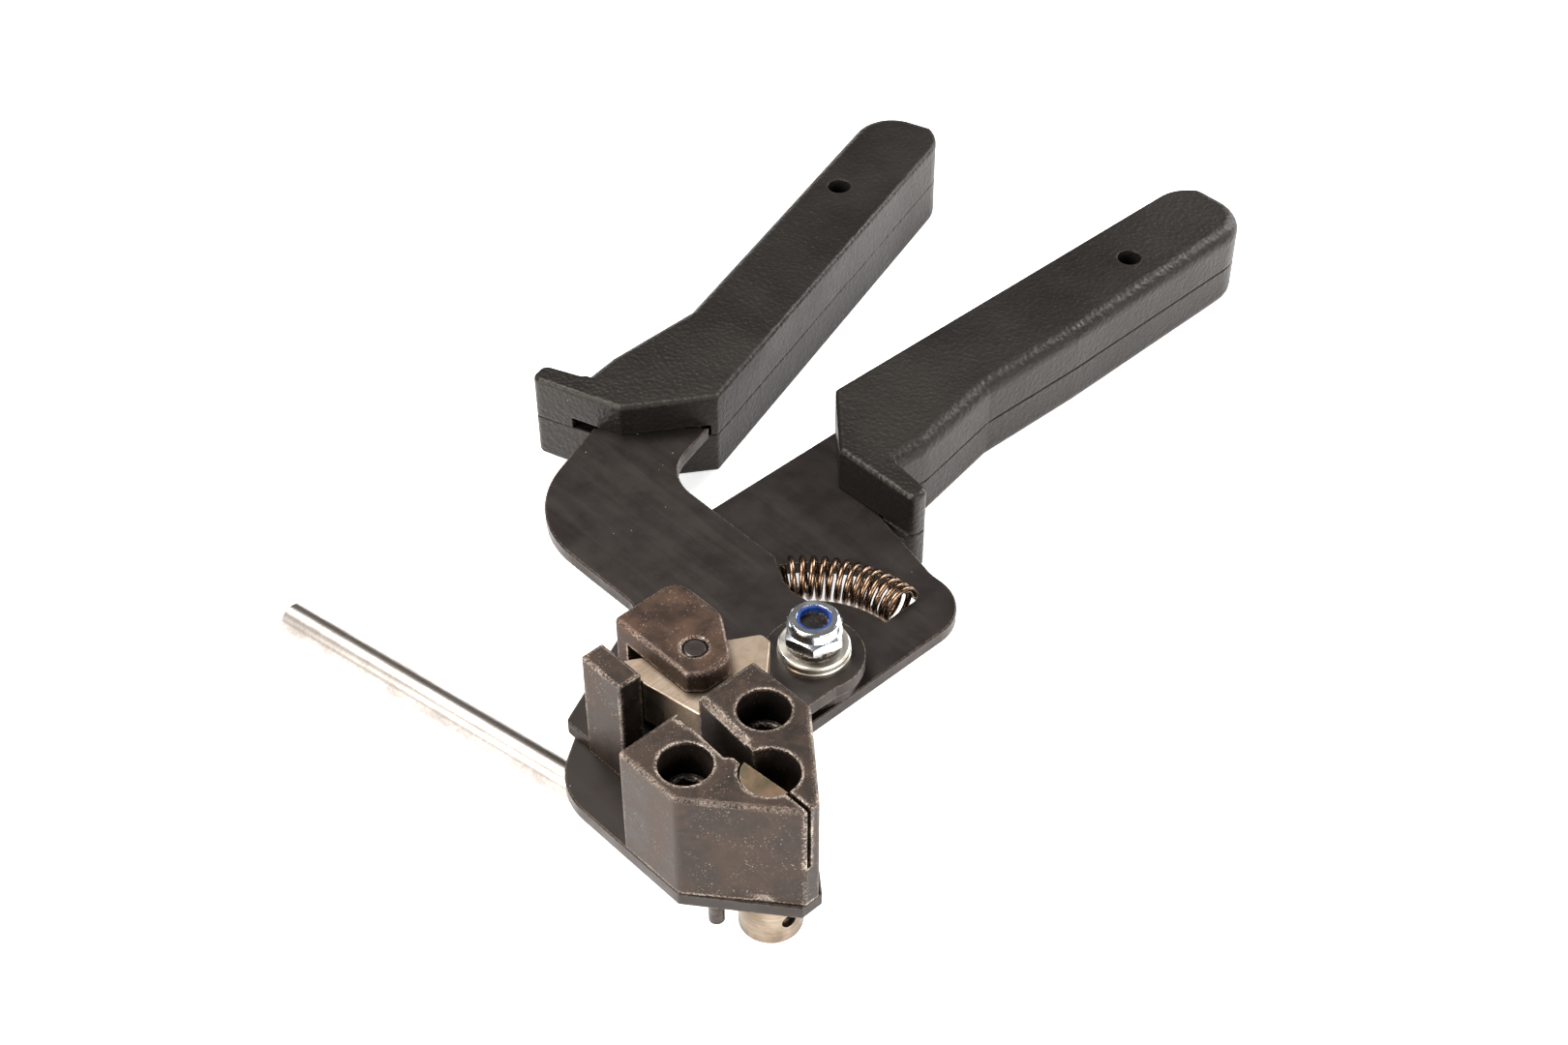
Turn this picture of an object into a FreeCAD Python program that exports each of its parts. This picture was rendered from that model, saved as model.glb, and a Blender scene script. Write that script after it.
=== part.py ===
"""Strap tensioning and cutting tool for steel cable ties.

A fixed plate with its grip carries a hardened head block, a rotary cutter and a pivot bolt.
A lever plate with its own grip turns on the bolt and carries an anvil post and a toothed pawl,
which pull the strap away from the head.  A tommy bar under the plate turns the cutter.

Millimetres.  Origin: foot of the cutter spindle, on its axis.  +Z up, the plates lie parallel
to XY, +Y is the way the strap is pulled, +X points along the fixed grip.
"""
import FreeCAD, Part
import math
import os
import Sketcher

Vector = FreeCAD.Vector
doc = FreeCAD.newDocument("strap_tool")
sheet = doc.addObject("Spreadsheet::Sheet", "dims")

DRIVING = {
    # heights above the spindle foot
    "plate_bottom": 12.1,
    "plate_gauge": 2.7,
    "head_height": 24.0,
    "slot_floor": 24.2,
    # head block in plan
    "head_half": 15.2,
    "head_back": 20.4,
    "head_side": 6.2,
    "head_nose": 10.3,
    "nose_half": 2.3,
    "block_nose": 1.5,
    "screw_spread": 8.8,
    "screw_back": 10.8,
    "counterbore_radius": 4.65,
    "screw_head_radius": 4.3,
    "screw_radius": 2.5,
    "counterbore_depth": 6.6,
    # cutter
    "spindle_radius": 5.2,
    "collar_radius": 5.7,
    "running_gap": 0.05,
    "cutter_radius": 4.95,
    "flat_offset": 0.85,
    "stop_radius": 1.4,
    "bar_radius": 3.15,
    "bar_reach": 116.7,
    "bar_root": 2.6,
    "bar_height": 5.3,
    # pivot
    "pivot_x": 36.4,
    "pivot_y": 27.4,
    "bolt_radius": 3.0,
    "bush_radius": 4.2,
    "boss_radius": 8.6,
    "eye_radius": 9.4,
    "washer_radius": 6.77,
    "washer_gauge": 1.3,
    "lock_gauge": 1.7,
    "nut_flats": 10.0,
    "nut_height": 4.8,
    "collar_nut": 4.74,
    # return spring
    "window_inner": 18.9,
    "window_outer": 29.3,
    "spring_radius": 24.1,
    "coil_radius": 3.75,
    "wire_radius": 0.6,
    "coils": 13.0,
    "spring_low": -0.2,
    "spring_rise": 1.5,
    # gripper
    "post_left": 5.7,
    "post_right": 0.9,
    "post_front": 31.0,
    "post_back": 41.3,
    "gripper_x": 12.7,
    "gripper_y": 32.8,
    "gripper_pin": 2.3,
    "pawl_floor": 20.6,
    "pawl_top": 30.0,
    "yoke_top": 34.5,
    # grips
    "grip_depth": 10.0,
    "grip_x": 75.2,
    "grip_y": 60.8,
    "lever_grip_x": 51.9,
    "lever_grip_y": 99.7,
    "lever_open": 17.7,
    "hang_radius": 2.55,
    "hang_along": 88.9,
    "hang_across": 2.1,
    "seam_bevel": 0.3,
    "grip_edge": 1.0,
    "grip_roll": 3.1,
}


class Dim:
    """A length with its value and the spreadsheet expression that drives it."""

    def __init__(self, value, text):
        self.value = float(value)
        self.text = text

    def __neg__(self):
        return Dim(-self.value, f"(-1 * {self.text})")

    def __add__(self, other):
        other = as_dim(other)
        return Dim(self.value + other.value, f"({self.text} + {other.text})")

    def __sub__(self, other):
        other = as_dim(other)
        return Dim(self.value - other.value, f"({self.text} - {other.text})")

    def __mul__(self, factor):
        return Dim(self.value * factor, f"({self.text} * {factor})")

    __radd__ = __add__


def as_dim(value):
    return value if isinstance(value, Dim) else Dim(value, f"({value:.4f})")


for row, (alias, number) in enumerate(DRIVING.items(), 1):
    sheet.set(f"A{row}", alias)
    sheet.set(f"B{row}", str(number))
    sheet.setAlias(f"B{row}", alias)
doc.recompute()
D = {alias: Dim(number, f"dims.{alias}") for alias, number in DRIVING.items()}

PLATE_TOP = D["plate_bottom"] + D["plate_gauge"]
LEVER_TOP = PLATE_TOP + D["plate_gauge"]
BRIDGE_TOP = LEVER_TOP + D["plate_gauge"]
HEAD_TOP = PLATE_TOP + D["head_height"]
parts = []


# ---------------------------------------------------------------- helpers

def bind(obj, prop, value):
    obj.setExpression(prop, as_dim(value).text)


def place(obj, x=0.0, y=0.0, z=0.0, turn=None):
    """Put an object at x, y, z, all bound to the sheet, turned about Z by an angle."""
    if turn is not None:
        obj.Placement = FreeCAD.Placement(Vector(0, 0, 0), FreeCAD.Rotation(Vector(0, 0, 1), 1))
        bind(obj, ".Placement.Rotation.Angle", turn)
    for axis, value in zip("xyz", (x, y, z)):
        bind(obj, f".Placement.Base.{axis}", value)
    return obj


def label(obj, name):
    """Give a finished sub-part its node name."""
    obj.Label = name
    parts.append(obj)
    return obj


def outline(body, points, name):
    """A closed sketch on the body's XY plane, each corner held to the sheet by two distances."""
    sketch = body.newObject("Sketcher::SketchObject", name)
    plane = [f for f in body.Origin.OriginFeatures if f.Role == "XY_Plane"][0]
    sketch.AttachmentSupport = (plane, "")
    sketch.MapMode = "FlatFace"
    corners = [(as_dim(x), as_dim(y)) for x, y in points]
    flat = [Vector(x.value, y.value, 0) for x, y in corners]
    count = len(flat)
    for i in range(count):
        sketch.addGeometry(Part.LineSegment(flat[i], flat[(i + 1) % count]), False)
    for i in range(count):
        sketch.addConstraint(Sketcher.Constraint("Coincident", i, 2, (i + 1) % count, 1))
    for i, (x, y) in enumerate(corners):
        for kind, value in (("DistanceX", x), ("DistanceY", y)):
            key = f"{kind}{i}"
            held = sketch.addConstraint(Sketcher.Constraint(kind, -1, 1, i, 1, value.value))
            sketch.renameConstraint(held, key)
            sketch.setExpression(f"Constraints.{key}", value.text)
    return sketch


def upright_edges(shape, x, y):
    """Names of the vertical edges that stand at x, y."""
    names = []
    for i, edge in enumerate(shape.Edges, 1):
        ends = [v.Point for v in edge.Vertexes]
        if len(ends) == 2 and abs(ends[0].z - ends[1].z) > 0.5:
            if all(math.hypot(p.x - x, p.y - y) < 0.01 for p in ends):
                names.append(f"Edge{i}")
    return names


def rim_edges(shape, z):
    """Names of the edges that lie in the plane at z."""
    names = []
    for i, edge in enumerate(shape.Edges, 1):
        box = edge.BoundBox
        if abs(box.ZMin - z) < 1e-4 and abs(box.ZMax - z) < 1e-4:
            names.append(f"Edge{i}")
    return names


def dress(body, kind, name, edges, size):
    """Add a Fillet or Chamfer on named edges of the body's tip."""
    base = body.Tip
    feature = body.newObject(f"PartDesign::{kind}", name)
    feature.Base = (base, edges)
    bind(feature, "Radius" if kind == "Fillet" else "Size", size)
    body.Tip = feature
    doc.recompute()
    return feature


def prism(name, points, height, rounds=()):
    """A body padded upward from z = 0; rounds lists (corner number, radius) pairs."""
    body = doc.addObject("PartDesign::Body", name)
    pad = body.newObject("PartDesign::Pad", name + "_pad")
    pad.Profile = outline(body, points, name + "_outline")
    bind(pad, "Length", height)
    body.Tip = pad
    doc.recompute()
    sizes = sorted({size for _, size in rounds})
    for size in sizes:
        edges = []
        for corner, radius in rounds:
            if radius == size:
                x, y = points[corner]
                edges += upright_edges(body.Tip.Shape, as_dim(x).value, as_dim(y).value)
        dress(body, "Fillet", f"{name}_round_{int(size * 10)}", edges, size)
    return body


def cylinder(radius, height, x=0.0, y=0.0, z=0.0, angle=360.0, turn=None):
    obj = doc.addObject("Part::Cylinder", "cylinder")
    bind(obj, "Radius", radius)
    bind(obj, "Height", height)
    obj.Angle = angle
    return place(obj, x, y, z, turn)


def cone(low_radius, high_radius, height, x, y, z):
    obj = doc.addObject("Part::Cone", "cone")
    bind(obj, "Radius1", low_radius)
    bind(obj, "Radius2", high_radius)
    bind(obj, "Height", height)
    return place(obj, x, y, z)


def box(length, width, height, x, y, z, turn=None):
    obj = doc.addObject("Part::Box", "box")
    bind(obj, "Length", length)
    bind(obj, "Width", width)
    bind(obj, "Height", height)
    return place(obj, x, y, z, turn)


def hexagon(flats, height, x, y, z, turn=0.0):
    obj = doc.addObject("Part::Prism", "hexagon")
    obj.Polygon = 6
    bind(obj, "Circumradius", flats * (1 / math.sqrt(3)))
    bind(obj, "Height", height)
    return place(obj, x, y, z, turn)


def fuse(*shapes):
    obj = doc.addObject("Part::MultiFuse", "fusion")
    obj.Shapes = list(shapes)
    obj.Refine = True
    return obj


def cut(base, *tools):
    obj = doc.addObject("Part::Cut", "cut")
    obj.Base = base
    obj.Tool = tools[0] if len(tools) == 1 else fuse(*tools)
    obj.Refine = True
    return obj


def common(base, tool):
    obj = doc.addObject("Part::Common", "common")
    obj.Base = base
    obj.Tool = tool
    return obj


def soften(base, x, y, radius):
    """Round the upright edge of a solid that stands at x, y."""
    doc.recompute()
    obj = doc.addObject("Part::Fillet", "softened")
    obj.Base = base
    obj.Edges = [(int(name[4:]), radius, radius) for name in upright_edges(base.Shape, x, y)]
    return obj


def hole(radius, x, y, low=0.0, height=60.0):
    return cylinder(radius, height, x, y, low)


def ring(outer, inner, height, x, y, z):
    """A flat ring standing on z."""
    return cut(cylinder(outer, height, x, y, z), hole(inner, x, y))


def group(*solids):
    """Separate solids that share one node."""
    obj = doc.addObject("Part::Compound", "group")
    obj.Links = list(solids)
    return obj


def across(obj, angle, height, start, aside=0.0):
    """Lay an upright solid down: its axis points level at the angle, from start to its end."""
    lay = FreeCAD.Rotation(Vector(0, 0, 1), Vector(math.cos(angle), math.sin(angle), 0))
    obj.Placement = FreeCAD.Placement(Vector(), lay)
    bind(obj, ".Placement.Base.x", as_dim(start) * math.cos(angle) + aside * math.sin(angle))
    bind(obj, ".Placement.Base.y", as_dim(start) * math.sin(angle) - aside * math.cos(angle))
    bind(obj, ".Placement.Base.z", height)
    return obj


PX, PY = D["pivot_x"], D["pivot_y"]
RUN = D["running_gap"]
SCREWS = [(-D["screw_spread"], D["screw_back"]), (D["screw_spread"], D["screw_back"])]
STOP_PIN = (-9.6, 3.2)
YOKE_SCREWS = [(10.2, 41.6), (18.4, 40.6)]
BAR_ANGLE = math.radians(100.2)
LOCK_ANGLE = math.radians(262.0)
LOCK_HEIGHT = 5.7
CHANNEL_LEAN = math.radians(84.7)
FLAT_TURN = 4.4


# ---------------------------------------------------------------- plates

def edge_break(plate, name, size=0.25):
    """Break the sharp upper edges of a plate."""
    shape = plate.Tip.Shape
    dress(plate, "Chamfer", name, rim_edges(shape, shape.BoundBox.ZMax), size)


def base_plate():
    """Fixed plate: seat of the head block, spring window, tang into the fixed grip."""
    points = [
        (D["nose_half"], -D["head_nose"]),
        (D["head_half"] + 0.2, D["head_side"]),
        (D["head_half"] + 0.2, 18.7),
        (70.9, 18.7),
        (70.9, 31.0),
        (75.4, 49.6),
        (82.4, 55.4),
        (137.0, 57.6),
        (145.0, 59.6),
        (145.0, 68.0),
        (97.0, 70.8),
        (86.4, 73.4),
        (26.4, 73.4),
        (26.0, 59.4),
        (-5.0, 45.8),
        (-15.4, 38.5),
        (-15.4, D["head_side"]),
        (-D["nose_half"], -D["head_nose"]),
    ]
    rounds = [(0, 0.6), (1, 1.0), (3, 9.6), (4, 6.0), (7, 3.0), (8, 3.0), (9, 3.0)]
    rounds += [(12, 4.0), (13, 4.0), (15, 14.0), (16, 1.0), (17, 0.6)]
    plate = prism("base_blank", points, D["plate_gauge"], rounds)
    edge_break(plate, "base_edge")
    place(plate, 0, 0, D["plate_bottom"])
    window = cut(
        cylinder(D["window_outer"], 8.0, PX, PY, D["plate_bottom"] - 2, 64.0, 1.0),
        cylinder(D["window_inner"], 12.0, PX, PY, D["plate_bottom"] - 4),
    )
    corner = math.radians(1.0)
    window = soften(window, PX.value + D["window_outer"].value * math.cos(corner),
                    PY.value + D["window_outer"].value * math.sin(corner), 2.6)
    tools = [window, hole(D["spindle_radius"] + RUN, 0, 0), hole(D["bolt_radius"], PX, PY)]
    tools += [hole(D["screw_radius"], x, y) for x, y in SCREWS]
    tools += [hole(D["stop_radius"], *STOP_PIN)]
    return label(cut(plate, *tools), "base_plate")


def lever_plate():
    """Moving plate: boss on the pivot, gripper seat, spring abutment, cranked arm and tang."""
    left = 0.1 - D["post_left"].value
    points = [
        (-D["post_right"], 24.2),
        (24.0, 22.2),
        (34.0, 19.1),
        (44.9, 29.6),
        (46.8, 40.0),
        (46.5, 44.6),
        (47.2, 46.6),
        (50.5, 52.8),
        (50.9, 85.0),
        (66.4, 89.7),
        (49.4, 105.6),
        (22.4, 95.6),
        (22.4, 60.6),
        (left, 47.5),
        (left, D["post_back"]),
        (-D["post_right"], D["post_back"]),
    ]
    rounds = [(0, 1.0), (5, 1.5), (8, 10.0), (11, 22.0), (12, 4.0), (13, 1.5)]
    blank = prism("lever_blank", points, D["plate_gauge"], rounds)
    edge_break(blank, "lever_edge")
    place(blank, 0, 0, PLATE_TOP)
    tang_points = [(-1.5, 5.6), (10.4, -12.2), (22.0, -9.8), (70.0, -7.4), (70.0, 0.6), (34.0, 1.4), (10.0, 5.0)]
    tang = prism("lever_tang", tang_points, D["plate_gauge"], [(3, 3.0), (4, 3.0)])
    place(tang, D["lever_grip_x"], D["lever_grip_y"], PLATE_TOP, D["lever_open"])
    boss = cylinder(D["boss_radius"], D["plate_gauge"], PX, PY, PLATE_TOP)
    tools = [hole(D["bush_radius"] + RUN, PX, PY)]
    tools += [hole(D["gripper_pin"], D["gripper_x"], D["gripper_y"])]
    for x, y in YOKE_SCREWS:
        tools += [hole(1.5, x, y), cone(2.9, 1.5, 1.4, x, y, PLATE_TOP)]
    return label(cut(fuse(blank, tang, boss), *tools), "lever_plate")


def bridge_plate():
    """Plate above the lever that holds the upper end of the pivot bolt, and its spacer."""
    points = [
        (4.8, 6.0),
        (13.4, 6.0),
        (13.4, 18.7),
        (36.0, 18.44),
        (40.0, 30.0),
        (30.7, 33.0),
        (24.0, 25.2),
        (4.8, 23.8),
    ]
    blank = prism("bridge_blank", points, D["plate_gauge"], [(0, 1.5), (1, 1.0), (7, 2.0)])
    place(blank, 0, 0, LEVER_TOP)
    eye = cylinder(D["eye_radius"], D["plate_gauge"], PX, PY, LEVER_TOP)
    holes = [hole(D["bolt_radius"], PX, PY), hole(D["screw_radius"] + 0.1, *SCREWS[1])]
    label(cut(fuse(blank, eye), *holes), "bridge_plate")
    pad = prism("spacer_blank", [(4.8, 6.0), (13.4, 6.0), (13.4, 20.0), (4.8, 20.0)], D["plate_gauge"],
                [(0, 1.5), (1, 1.0)])
    place(pad, 0, 0, PLATE_TOP)
    label(cut(pad, hole(D["screw_radius"] + 0.1, *SCREWS[1])), "bridge_spacer")


# ---------------------------------------------------------------- head and cutter

def head_block():
    """Hardened house-shaped block, split by the strap channel, bored for cutter and screws."""
    half, back = D["head_half"], D["head_back"]
    points = [
        (D["block_nose"], -D["head_nose"]),
        (half, D["head_side"]),
        (half, back),
        (-half, back),
        (-half, D["head_side"]),
        (-D["block_nose"], -D["head_nose"]),
    ]
    rounds = [(0, 0.8), (5, 0.8), (2, 0.7), (3, 0.7), (1, 2.4), (4, 2.4)]
    blank = prism("head_blank", points, D["head_height"], rounds)
    top = D["head_height"].value
    dress(blank, "Fillet", "head_rim", rim_edges(blank.Tip.Shape, top), 0.7)
    place(blank, 0, 0, PLATE_TOP)
    channel = prism("channel", [(-2.3, 3.6), (0.8, 3.6), (1.6, 8.1), (2.3, 16.4), (2.8, 21.0),
                                (-2.5, 21.0), (-3.3, 7.6), (-2.2, 6.4)], 20.0)
    place(channel, 0, 0, D["slot_floor"])
    slit = box(0.85, 14.0, 20.0, -1.25, -12.0, D["slot_floor"])
    tools = [channel, slit, hole(D["spindle_radius"] + RUN, 0, 0)]
    tools += [cylinder(7.5, 1.4, 0, 0, PLATE_TOP)]
    for x, y in SCREWS:
        seat = HEAD_TOP - D["counterbore_depth"] - 5.0
        tools += [hole(D["counterbore_radius"], x, y, seat), hole(D["screw_radius"] + 0.1, x, y)]
        tools += [cone(D["counterbore_radius"] - 0.5, D["counterbore_radius"] + 0.5, 1.0, x, y, HEAD_TOP - 0.6)]
    recess = prism("bridge_recess", [(4.6, 5.8), (13.6, 5.8), (13.6, 18.5), (17.0, 18.5), (17.0, 22.0),
                                     (4.6, 22.0)], D["plate_gauge"] * 2 + 0.05)
    place(recess, 0, 0, PLATE_TOP - 0.02)
    notch = box(1.6, 3.3, 3.0, -3.4, 16.3, HEAD_TOP - 0.7)
    worn = doc.addObject("Part::Prism", "worn_edge")
    worn.Polygon = 4
    bind(worn, "Circumradius", 0.9)
    bind(worn, "Height", 15.6)
    across(worn, CHANNEL_LEAN, HEAD_TOP, 7.6, 0.84)
    return label(cut(blank, recess, notch, worn, *tools), "head_block")


def head_screws():
    """Two socket head cap screws deep in the counterbores."""
    solids = []
    for x, y in SCREWS:
        seat = HEAD_TOP - D["counterbore_depth"] - 5.0
        head = cylinder(D["screw_head_radius"], 5.0, x, y, seat)
        shank = cylinder(D["screw_radius"], seat - D["plate_bottom"], x, y, D["plate_bottom"])
        socket = fuse(hexagon(as_dim(5.0), 6.0, x, y, seat + 2.4), cone(2.5, 3.1, 0.6, x, y, seat + 4.5))
        chamfer = cut(hole(6.0, x, y, seat + 4.4, 2.0), cone(4.3, 3.6, 0.7, x, y, seat + 4.4))
        solids.append(cut(fuse(head, shank), socket, chamfer))
    return label(group(*solids), "head_screws")


def cutter_spindle():
    """Spindle that turns in the head: collar below the plate, half-moon cutter above."""
    body = fuse(
        cylinder(D["collar_radius"], D["plate_bottom"] - RUN, 0, 0, 0),
        cylinder(D["spindle_radius"], HEAD_TOP - 0.5, 0, 0, 0),
    )
    shift = math.radians(FLAT_TURN)
    away = box(20.0, 30.0, 30.0, -D["flat_offset"] * math.cos(shift) + 15.0 * math.sin(shift),
               -D["flat_offset"] * math.sin(shift) - 15.0 * math.cos(shift), D["slot_floor"] - 0.1, FLAT_TURN)
    groove = ring(D["spindle_radius"] + 1, 4.6, 1.0, 0, 0, PLATE_TOP + 0.15)
    socket = across(cylinder(D["bar_radius"], 20.0), BAR_ANGLE, D["bar_height"], -D["bar_root"])
    tapped = across(cylinder(1.5, 20.0), LOCK_ANGLE, LOCK_HEIGHT, 0.0)
    relief = ring(D["spindle_radius"] + 1, D["cutter_radius"], 20.0, 0, 0, D["slot_floor"] - 0.1)
    bevel = cut(cylinder(8.0, 0.8, 0, 0, -0.01), cone(4.9, 5.7, 0.8, 0, 0, 0))
    return label(cut(body, away, relief, groove, socket, tapped, bevel), "cutter_spindle")


def cutter_parts():
    """Retaining ring, tommy bar with its locking screw, and the pin that stops the bar."""
    label(ring(7.0, 4.65, 0.9, 0, 0, PLATE_TOP + 0.2), "spindle_ring")
    length = D["bar_reach"] + D["bar_root"]
    bar = cylinder(D["bar_radius"], length)
    bevel = cut(cylinder(5.0, 1.2, 0, 0, length - 1.2),
                cone(D["bar_radius"], D["bar_radius"] - 1.1, 1.2, 0, 0, length - 1.2))
    label(across(cut(bar, bevel), BAR_ANGLE, D["bar_height"], -D["bar_root"]), "tommy_bar")
    grub = cut(cylinder(1.45, 1.3), hexagon(as_dim(1.5), 2.0, 0, 0, 0.6))
    label(across(grub, LOCK_ANGLE, LOCK_HEIGHT, 3.35), "bar_lock_screw")
    pin = cylinder(D["stop_radius"], PLATE_TOP - 5.6, *STOP_PIN, 5.6)
    bevel = cut(cylinder(3.0, 0.4, *STOP_PIN, 5.59), cone(1.0, 1.4, 0.4, *STOP_PIN, 5.6))
    label(cut(pin, bevel), "stop_pin")


# ---------------------------------------------------------------- gripper

def anvil_post():
    """Upright bar set in the lever plate: the strap's back lies against its right face."""
    left, right = -D["post_left"], -D["post_right"]
    front, back = D["post_front"], D["post_back"]
    bar = prism("post_blank", [(left, front), (right, front), (right, back), (left, back)],
                D["head_height"] - 0.1, [(0, 0.5), (1, 0.3), (2, 0.3), (3, 0.5)])
    rim = bar.Tip.Shape.BoundBox.ZMax
    dress(bar, "Fillet", "post_rim", rim_edges(bar.Tip.Shape, rim), 0.45)
    return label(place(bar, 0, 0, PLATE_TOP + 0.1), "anvil_post")


def gripper_yoke():
    """Block on the lever plate with a slot for the pawl: cap above, foot below, rear wall."""
    points = [(9.6, 26.5), (15.6, 26.5), (21.9, 36.0), (21.9, 48.0), (7.0, 48.0), (7.0, 28.9)]
    rounds = [(0, 1.6), (1, 3.2), (2, 5.0), (3, 3.6), (4, 1.0), (5, 1.6)]
    block = prism("yoke_blank", points, D["yoke_top"] - LEVER_TOP, rounds)
    rim = block.Tip.Shape.BoundBox.ZMax
    dress(block, "Fillet", "yoke_rim", rim_edges(block.Tip.Shape, rim), 0.9)
    place(block, 0, 0, LEVER_TOP)
    slot = box(40.0, 24.4, D["pawl_top"] + 0.3 - 20.4, -5.0, 20.0, 20.4)
    tools = [slot, hole(D["gripper_pin"], D["gripper_x"], D["gripper_y"])]
    tools += [cone(2.1, 2.7, 0.6, D["gripper_x"], D["gripper_y"], D["yoke_top"] - 0.5)]
    tools += [hole(1.5, x, y, 15.0, 5.0) for x, y in YOKE_SCREWS]
    label(cut(block, *tools), "gripper_yoke")
    screws = []
    for x, y in YOKE_SCREWS:
        shank = cylinder(1.5, 5.0, x, y, PLATE_TOP + 0.1)
        head = cone(2.8, 1.5, 1.3, x, y, PLATE_TOP + 0.1)
        screws.append(cut(fuse(head, shank), hexagon(as_dim(1.8), 1.0, x, y, PLATE_TOP)))
    label(group(*screws), "yoke_screws")
    pin = cylinder(D["gripper_pin"], D["yoke_top"] - PLATE_TOP - 0.3, D["gripper_x"], D["gripper_y"],
                   PLATE_TOP + 0.1)
    crown = cut(cylinder(3.0, 0.5, D["gripper_x"], D["gripper_y"], D["yoke_top"] - 0.6),
                cone(2.3, 1.9, 0.4, D["gripper_x"], D["gripper_y"], D["yoke_top"] - 0.6))
    label(cut(pin, crown), "gripper_pin")


def gripper_pawl():
    """Toothed cam pawl on the gripper pin, with a thumb tail at its right end."""
    points = [(5.4, 23.3), (19.6, 21.9), (26.2, 28.0), (26.3, 30.4), (21.0, 33.4), (18.2, 37.6),
              (14.6, 39.6), (8.4, 39.8), (2.2, 43.4), (3.2, 35.2)]
    rounds = [(0, 0.8), (1, 3.0), (2, 1.2), (3, 1.2), (4, 3.0), (5, 3.0), (6, 4.0)]
    thickness = D["pawl_top"] - D["pawl_floor"]
    blank = prism("pawl_blank", points, thickness, rounds)
    edge_break(blank, "pawl_edge", 0.15)
    place(blank, 0, 0, D["pawl_floor"])
    tools = [hole(D["gripper_pin"] + RUN, D["gripper_x"], D["gripper_y"])]
    tools += [cylinder(4.6, 2.4, D["gripper_x"], D["gripper_y"], D["pawl_floor"])]
    lean = math.atan2(8.2, -1.0)
    for tooth in range(9):
        reach = 0.5 + tooth * 0.85
        x = 2.2 - reach * math.cos(lean)
        y = 43.4 - reach * math.sin(lean)
        tools.append(box(0.6, 0.6, 12.0, x - 0.42, y - 0.02, D["pawl_floor"] - 1, -38.0))
    return label(cut(blank, *tools), "gripper_pawl")


def coil_wire(points, radius):
    """A round wire swept along a smooth line through points."""
    curve = Part.BSplineCurve()
    curve.interpolate(points)
    spine = Part.Wire([curve.toShape()])
    start = curve.tangent(curve.FirstParameter)[0]
    section = Part.Wire([Part.Circle(points[0], start, radius).toShape()])
    return spine.makePipeShell([section], True, True)


def pawl_spring():
    """Torsion spring round the gripper pin, in a recess under the pawl."""
    turns, wire, mean = 2.6, 0.35, 3.4
    points = []
    for step in range(int(turns * 12) + 1):
        angle = 2 * math.pi * step / 12
        height = D["pawl_floor"].value + 0.45 + 0.62 * step / 12
        points.append(Vector(D["gripper_x"].value + mean * math.cos(angle),
                             D["gripper_y"].value + mean * math.sin(angle), height))
    obj = doc.addObject("Part::Feature", "pawl_spring_wire")
    obj.Shape = coil_wire(points, wire)
    return label(obj, "pawl_spring")


# ---------------------------------------------------------------- pivot

def pivot():
    """Bolt, bush, two washers, lock washer and a locking nut with its plastic insert."""
    low = D["plate_bottom"] - 4.0
    head = common(hexagon(D["nut_flats"], 4.0, PX, PY, low), cone(5.0, 9.0, 4.0, PX, PY, low))
    shank = cylinder(D["bolt_radius"], 16.2, PX, PY, D["plate_bottom"] - 0.5)
    label(fuse(head, shank), "pivot_bolt")
    label(ring(D["bush_radius"], D["bolt_radius"], D["plate_gauge"] - 0.1, PX, PY, PLATE_TOP + 0.05),
          "pivot_bush")
    gauge = D["washer_gauge"]
    washers = []
    for level in range(2):
        size = D["washer_radius"] - 0.1 * level
        washer = ring(size, D["bolt_radius"] + 0.1, gauge, PX, PY, BRIDGE_TOP + gauge * level)
        rim = BRIDGE_TOP + gauge * (level + 1) - 0.3
        washers.append(cut(washer, cut(cylinder(9.0, 0.4, PX, PY, rim), cone(size, size - 0.4, 0.4, PX, PY, rim))))
    label(group(*washers), "pivot_washers")
    seat = BRIDGE_TOP + gauge * 2
    label(ring(5.2, D["bolt_radius"] + 0.1, D["lock_gauge"], PX, PY, seat), "lock_washer")
    foot = seat + D["lock_gauge"]
    top = foot + D["nut_height"]
    across_corners = D["nut_flats"] * (1 / math.sqrt(3))
    low_cone = cone(across_corners - 0.52, across_corners + 4.68, 3.0, PX, PY, foot)
    high_cone = cone(across_corners + 3.3, across_corners - 1.9, 3.0, PX, PY, foot)
    hexes = common(common(hexagon(D["nut_flats"], 2.6, PX, PY, foot, 45.0), low_cone), high_cone)
    collar = cylinder(D["collar_nut"], D["nut_height"] - 0.5, PX, PY, foot)
    rolled = fuse(cone(D["collar_nut"], D["collar_nut"] - 0.15, 0.3, PX, PY, top - 0.5),
                  cone(D["collar_nut"] - 0.15, D["collar_nut"] - 0.45, 0.2, PX, PY, top - 0.2))
    label(cut(fuse(hexes, collar, rolled), hole(D["bolt_radius"], PX, PY), hole(3.2, PX, PY, top - 1.3)),
          "pivot_nut")
    label(ring(3.2, 2.7, 1.1, PX, PY, top - 1.25), "nut_insert")


def return_spring():
    """Compression spring bent round the pivot, from the window's end to the lever's abutment."""
    start, finish = math.radians(3.6), math.radians(58.2)
    turns, per_turn = D["coils"].value, 12
    steps = int(turns * per_turn)
    points = []
    for step in range(steps + 1):
        along = start + (finish - start) * step / steps
        phase = 2 * math.pi * step / per_turn
        reach = D["spring_radius"].value + D["coil_radius"].value * math.cos(phase)
        axis_height = PLATE_TOP.value + D["spring_low"].value + D["spring_rise"].value * step / steps
        height = axis_height + D["coil_radius"].value * math.sin(phase)
        points.append(Vector(PX.value + reach * math.cos(along), PY.value + reach * math.sin(along), height))
    obj = doc.addObject("Part::Feature", "return_spring_wire")
    obj.Shape = coil_wire(points, D["wire_radius"].value)
    return label(obj, "return_spring")


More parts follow.
